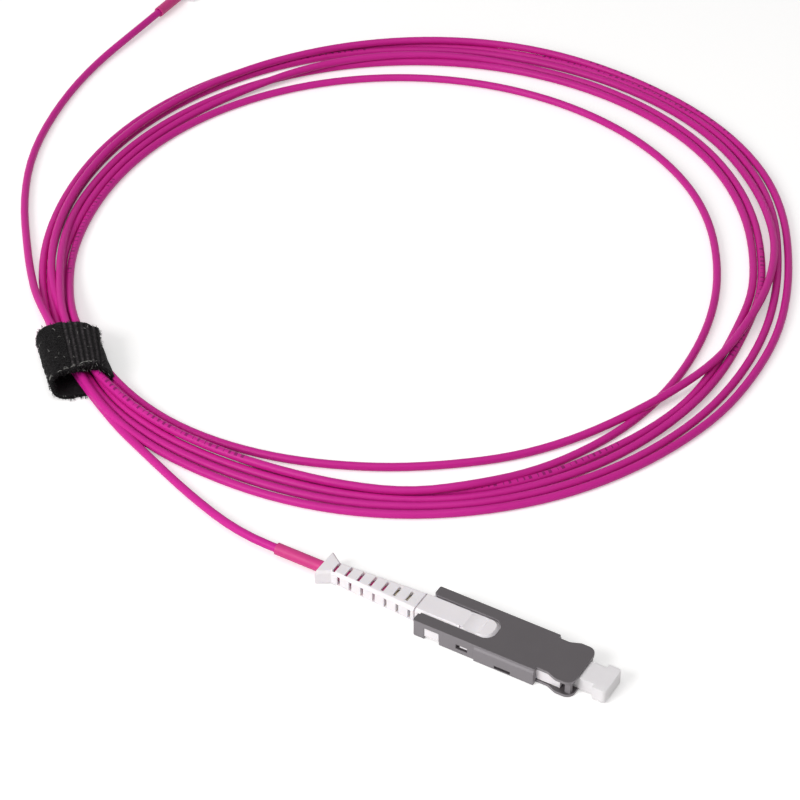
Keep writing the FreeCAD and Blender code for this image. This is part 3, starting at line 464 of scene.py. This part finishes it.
def weaveStrap(steps, surface, ribAt):
    # outer face, inner face, the rims along both edges and the two ends
    columns = strapTie["columns"]
    row = columns + 1
    under = steps * row  # where the inner face's points start
    verts, faces = [], []
    for side in (1, -1):
        for i in range(steps):
            for c in range(row):
                verts.append(surface(i, 2 * c / columns - 1, side) * mm)
    for i in range(steps - 1):
        for c in range(columns):
            a = i * row + c
            faces.append((a, a + 1, a + row + 1, a + row))
            faces.append((under + a, under + a + row, under + a + row + 1, under + a + 1))
        for a, flip in ((i * row, False), (i * row + columns, True)):
            rim = (a, a + row, under + a + row, under + a)
            faces.append(rim[::-1] if flip else rim)
    for a, flip in ((0, True), ((steps - 1) * row, False)):
        for c in range(columns):
            rim = (a + c, a + c + 1, under + a + c + 1, under + a + c)
            faces.append(rim[::-1] if flip else rim)
    strap = meshPiece("hook_and_loop_strap", verts, faces, wovenStrap())
    crests = strap.data.attributes.new("crest", "FLOAT", "POINT")
    crests.data.foreach_set("value", [ribAt(k // row) if k < under else 0.0 for k in range(len(verts))])
    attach(strap, "cord_and_plugs")
    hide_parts("hook_and_loop_tie")
    return strap


def napStrap(steps, surface, ribsFrom):
    # napped loops on the soft face, cut filaments along both edges and the free end, and caught lint
    rng = random.Random(strapTie["seed"])
    verts, faces, pale = [], [], []

    def anyWay(lowest):
        return Vector((rng.uniform(-1, 1), rng.uniform(-1, 1), rng.uniform(lowest, 1)))

    def filament(points, radius, lint):
        start = len(verts)
        for k, point in enumerate(points):
            run = (points[min(k + 1, len(points) - 1)] - points[max(k - 1, 0)]).normalized()
            aside = run.orthogonal().normalized()
            other = run.cross(aside)
            for s in range(3):
                turn = 2 * math.pi * s / 3
                verts.append((point + (aside * math.cos(turn) + other * math.sin(turn)) * radius) * mm)
        for k in range(len(points) - 1):
            for s in range(3):
                a, b = start + 3 * k + s, start + 3 * k + (s + 1) % 3
                faces.append((a, b, b + 3, a + 3))
                pale.append(lint)

    for loop in range(strapTie["loops"]):
        i = rng.randint(int(strapTie["loopsFrom"] * steps), steps - 3)
        across = rng.uniform(-0.98, 0.98)
        if i >= ribsFrom and rng.random() < strapTie["hooksBare"]:
            continue
        base = surface(i, across, 1)
        up = (base - surface(i, across, -1)).normalized()
        lean = anyWay(-1)
        lean = (lean - up * lean.dot(up)).normalized() * rng.uniform(*strapTie["loopLean"])
        tall = rng.uniform(*strapTie["loopHeight"])
        root = up * strapTie["loopRoot"]
        points = [base - lean - root, base - lean * 0.8 + up * tall * 0.7, base + up * tall,
                  base + lean * 0.8 + up * tall * 0.7, base + lean - root]
        filament(points, rng.uniform(*strapTie["loopRadius"]), rng.random() < strapTie["paleLoops"])
    for fray in range(strapTie["frays"]):
        side = rng.choice((-1, 1))
        i = rng.randint(2, steps - 2)
        base = surface(i, side * 0.985, rng.uniform(-1, 1))
        tip = surface(i, side, 0) - surface(i, side * 0.9, 0)
        tip = tip.normalized() * rng.uniform(*strapTie["frayLength"][side])
        bend = anyWay(-0.6) * strapTie["frayBend"]
        points = [base, base + tip * 0.5 + bend * 0.3, base + tip + bend]
        filament(points, rng.uniform(*strapTie["frayRadius"]), rng.random() < strapTie["paleFrays"])
    for bit in range(strapTie["lint"]):
        i = rng.randint(int(strapTie["lintFrom"] * steps), steps - 8)
        base = surface(i, -rng.uniform(0.9, 1.0), 1)
        run = (surface(i + 3, -0.95, 1) - surface(i - 3, -0.95, 1)).normalized()
        run = run * rng.uniform(*strapTie["lintLength"])
        points = [base - run, base + Vector((0, 0, rng.uniform(*strapTie["lintRise"]))), base + run]
        filament(points, rng.uniform(*strapTie["lintRadius"]), True)
    for fray in range(strapTie["endFrays"]):
        across = rng.uniform(-1, 1)
        base = surface(steps - 2, across, rng.uniform(-1, 1))
        run = (surface(steps - 1, across, 0) - surface(steps - 6, across, 0)).normalized()
        bend = anyWay(-0.6) * strapTie["endFrayBend"]
        tip = run * rng.uniform(*strapTie["endFrayLength"])
        points = [base, base + run * 0.25 + bend * 0.4, base + tip + bend]
        filament(points, rng.uniform(*strapTie["frayRadius"]), rng.random() < strapTie["paleEndFrays"])
    for spot in verts:
        spot.z = max(spot.z, strapTie["floorGap"] * mm)
    pile = meshPiece("strap_loop_pile", verts, faces, loopYarn("napped_black_filament", strapTie["yarn"]))
    pile.data.materials.append(loopYarn("pale_lint", strapTie["paleYarn"]))
    pile.data.polygons.foreach_set("material_index", [1 if lint else 0 for lint in pale])
    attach(pile, "cord_and_plugs")
    return pile


def makeTie():
    line, outward = strapLine()
    steps, step = len(line), strapTie["step"]
    half, thick = strapTie["width"] / 2, strapTie["thickness"] / 2
    ribsFrom = steps - int(strapTie["ribbedEnd"] / step)

    def ribAt(i):
        return abs(math.sin(math.pi * (i - ribsFrom) * step / strapTie["ribPitch"])) if i >= ribsFrom else 0.0

    def surface(i, across, side):
        # across runs from -1 to 1 over the strap's width; side 1 is its outer face
        spot, out = line[i], outward[i]
        edge = strapTie["edgeWander"] * noise.noise(Vector((i * step * 0.9, across * 3, 4.0)))
        swell = strapTie["faceSwell"] * noise.noise(Vector((i * step * 0.5, across * half * 0.4, 1.5)))
        lift = side * thick + swell
        if side > 0 and i >= ribsFrom and abs(across) < 0.97:
            lift += strapTie["ribHeight"] * (ribAt(i) - 0.6)
        narrow = 1 - strapTie["taper"] * max(0, i - ribsFrom) / (steps - ribsFrom)
        along = across * half * narrow + (edge if abs(across) > 0.9 else 0) - spot.z
        return strapFrame(spot.x + out.x * lift, spot.y + out.y * lift, along, spot.w)

    strap = weaveStrap(steps, surface, ribAt)
    pile = napStrap(steps, surface, ribsFrom)
    print("tie wound:", steps, "steps of strap,", len(pile.data.polygons), "pile faces")
    return [strap, pile]


# hard and soft mouldings, metal and glass of both plugs: the solids keep their shape and get their real finish

plugFinish = {
    # the paler grey after the two grey tones is painted light for the housing's upright faces
    "grey": ("#514C4F", "#585356"), "greyPaintedSideLight": "#7E797D",
    "white": ("#EAE5E8", "#F1ECEF"), "bootWhite": ("#EAE5E8", "#F2EDF0"),
    "cap": ("#F0ECEE", "#F8F5F7"), "sleeve": ("#C5327B", "#D13F86"),
    "brass": ("#A89F8C", "#C2B9A6"), "nickel": ("#B7B2A8", "#D2CEC6"), "steel": ("#9B9B9C", "#B8B8B9"),
    "zirconia": ("#EFEDE6", "#F8F7F3"), "fibre": ("#DCE8EE", "#EEF4F6"),
    "flow": 5,  # millimetres over which a moulding's tone shifts
    "paintedLightStarts": 0.95, "paintedLightFull": 0.72,  # how level a face is where the painted side light starts and where it is full
    "edgeSamples": 6,
}


def mouldedPlastic(name, tones, rough, grain, soft=0.0, edge=0.08, paintedSideLight=None):
    # injection moulding from a spark-eroded tool: fine even grain, slow shifts of tone, rounded edges catch light
    values = {"IOR": 1.52, "Specular IOR Level": 0.4}
    if soft:
        values.update({"Subsurface Weight": soft, "Subsurface Scale": 1.0,
                       "Subsurface Radius": (0.6 * mm, 0.5 * mm, 0.4 * mm)})
    material, tree, shader = startMaterial(name, values)
    coords, patches, colour = twoTone(tree, shader, tones, plugFinish["flow"])
    if paintedSideLight:
        # painted light: upright faces get a paler grey than level ones, standing in for the stronger light on the
        # housing's sides
        facing = addNode(tree, "ShaderNodeSeparateXYZ", links={0: coords.outputs["Normal"]})
        level = addNode(tree, "ShaderNodeMath", links={0: facing.outputs[2]}, operation="ABSOLUTE")
        paintedSideShare = addNode(tree, "ShaderNodeMapRange",
                       {"From Min": plugFinish["paintedLightStarts"], "From Max": plugFinish["paintedLightFull"]},
                       {"Value": level.outputs[0]})
        colour = addNode(tree, "ShaderNodeMix", {7: linear(paintedSideLight)}, {0: paintedSideShare.outputs[0], 6: colour.outputs[2]},
                         data_type="RGBA")
        tree.links.new(colour.outputs[2], shader.inputs["Base Color"])
    spark = addNode(tree, "ShaderNodeTexNoise", {"Scale": perMetre(grain), "Detail": 3.0},
                    {"Vector": coords.outputs["Object"]})
    gloss = addNode(tree, "ShaderNodeMapRange", {"To Min": rough - 0.08, "To Max": rough + 0.08},
                    {"Value": spark.outputs["Fac"]})
    tree.links.new(gloss.outputs[0], shader.inputs["Roughness"])
    rounded = addNode(tree, "ShaderNodeBevel", {"Radius": edge * mm}, samples=plugFinish["edgeSamples"])
    bump = addNode(tree, "ShaderNodeBump", {"Strength": 0.25, "Distance": 0.03 * mm},
                   {"Height": spark.outputs["Fac"], "Normal": rounded.outputs[0]})
    tree.links.new(bump.outputs[0], shader.inputs["Normal"])
    return material


def clearPolyethylene():
    # LDPE dust cap, moulded: milky and translucent, with a soft light inside it
    material, tree, shader = startMaterial("moulded_ldpe", {
        "IOR": 1.51, "Transmission Weight": 0.12, "Subsurface Weight": 0.45, "Subsurface Scale": 1.0,
        "Subsurface Radius": (1.2 * mm, 1.2 * mm, 1.2 * mm)})
    twoTone(tree, shader, plugFinish["cap"], 2.5, gloss=(0.25, 0.42))
    rounded = addNode(tree, "ShaderNodeBevel", {"Radius": 0.1 * mm}, samples=plugFinish["edgeSamples"])
    tree.links.new(rounded.outputs[0], shader.inputs["Normal"])
    return material


def shrunkPolyolefin():
    # heat-shrink sleeve, polyolefin: a little glossier and redder than the jacket, faintly puckered
    material, tree, shader = startMaterial("shrunk_polyolefin", {"IOR": 1.5, "Specular IOR Level": 0.25})
    coords, puckers, colour = twoTone(tree, shader, plugFinish["sleeve"], 1.2, 3.0, gloss=(0.34, 0.48))
    bump = addNode(tree, "ShaderNodeBump", {"Strength": 0.2, "Distance": 0.06 * mm},
                   {"Height": puckers.outputs["Fac"]})
    tree.links.new(bump.outputs[0], shader.inputs["Normal"])
    return material


def turnedMetal(name, tones, rough, pitch):
    # plated metal turned or drawn: fine marks at the tool's feed, slight tarnish between
    material, tree, shader = startMaterial(name, {"Metallic": 1.0})
    twoTone(tree, shader, tones, pitch, 4.0, gloss=(rough - 0.06, rough + 0.08))
    return material


def polishedZirconia():
    # zirconia ferrule, ground and polished: dense white ceramic with a hard bright reflection
    material, tree, shader = startMaterial("polished_zirconia", {
        "IOR": 2.15, "Subsurface Weight": 0.15, "Subsurface Scale": 1.0,
        "Subsurface Radius": (0.3 * mm, 0.3 * mm, 0.3 * mm)})
    twoTone(tree, shader, plugFinish["zirconia"], 0.6, gloss=(0.06, 0.16))
    return material


def coatedGlass():
    # glass fibre under its acrylate coat, drawn: clear and smooth with a pale tint
    material, tree, shader = startMaterial("acrylate_coated_glass", {
        "IOR": 1.5, "Transmission Weight": 0.6, "Roughness": 0.12})
    twoTone(tree, shader, plugFinish["fibre"], 3)
    return material


springCoil = {
    "wire": 0.2,
    "turns": 6,
    "stepsPerTurn": 24,
    "sides": 8,
    "travel": 0.7,  # how far its ferrule presses it
}


def makeSpring(name, finish):
    # one wound spring between the seat and the flange
    low, high = [Vector(corner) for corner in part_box(name)]
    along = 0 if name.endswith("_a") else 1  # plug A points along x, plug B along y
    middle = (low + high) / 2
    wire = springCoil["wire"] / 2 * mm
    radius = (high.z - low.z) / 2 - wire
    rise = high[along] - low[along] - 2 * wire
    steps, sides = springCoil["stepsPerTurn"], springCoil["sides"]
    count = springCoil["turns"] * steps
    verts, faces = [], []
    for i in range(count + 1):
        turn = 2 * math.pi * i / steps
        for s in range(sides):
            around = 2 * math.pi * s / sides
            out = radius + wire * math.cos(around)
            spot = Vector((0, 0, middle.z + out * math.sin(turn)))
            spot[along] = low[along] + wire + rise * i / count + wire * math.sin(around)
            spot[1 - along] = middle[1 - along] + out * math.cos(turn)
            verts.append(spot)
    for i in range(count):
        for s in range(sides):
            a, b = i * sides + s, i * sides + (s + 1) % sides
            faces.append((a, b, b + sides, a + sides))
    faces += [tuple(range(sides)), tuple(range(count * sides, (count + 1) * sides))]
    coil = meshPiece(name.replace("ferrule_spring", "wound_spring"), verts, faces, finish)
    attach(coil, "cord_and_plugs")
    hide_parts(name)
    seat = middle.copy()
    seat[along] = low[along]
    axis = Vector((0, 0, 0))
    axis[along] = 1
    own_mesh(coil)
    return coil


def finishPlugs():
    greyPbt = mouldedPlastic("moulded_grey_pbt", plugFinish["grey"], 0.38, 0.12, edge=0.12,
                             paintedSideLight=plugFinish["greyPaintedSideLight"])
    whitePbt = mouldedPlastic("moulded_white_pbt", plugFinish["white"], 0.4, 0.12, soft=0.1)
    whiteTpe = mouldedPlastic("moulded_white_tpe", plugFinish["bootWhite"], 0.55, 0.2, soft=0.2, edge=0.12)
    finishes = {  # by how a node's name starts; the longer ferrule names come first
        "housing": greyPbt,
        "rear_body": whitePbt,
        "front_body": whitePbt,
        "push_pull_slider": whitePbt,
        "boot": whiteTpe,
        "dust_cap": clearPolyethylene(),
        "crimp_ring": turnedMetal("drawn_crimp_brass", plugFinish["brass"], 0.32, 0.4),
        "shrink_sleeve": shrunkPolyolefin(),
        "ferrule_flange": turnedMetal("turned_nickel_plate", plugFinish["nickel"], 0.24, 0.25),
        "ferrule_spring": turnedMetal("drawn_spring_steel", plugFinish["steel"], 0.28, 0.15),
        "ferrule": polishedZirconia(),
        "fibre": coatedGlass(),
    }
    done, springs = 0, []
    for name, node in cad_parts.items():
        kind = next((key for key in finishes if name.startswith(key)), None)
        if kind is None:
            continue
        if kind == "ferrule_spring":
            springs.append(makeSpring(name, finishes[kind]))
            continue
        node.data.materials.clear()
        node.data.materials.append(finishes[kind])
        done += 1
    print("plugs finished:", done, "solids and", len(springs), "wound springs")
    return springs


setStudio()
springs = finishPlugs()
tiePieces = makeTie()
makeCord()
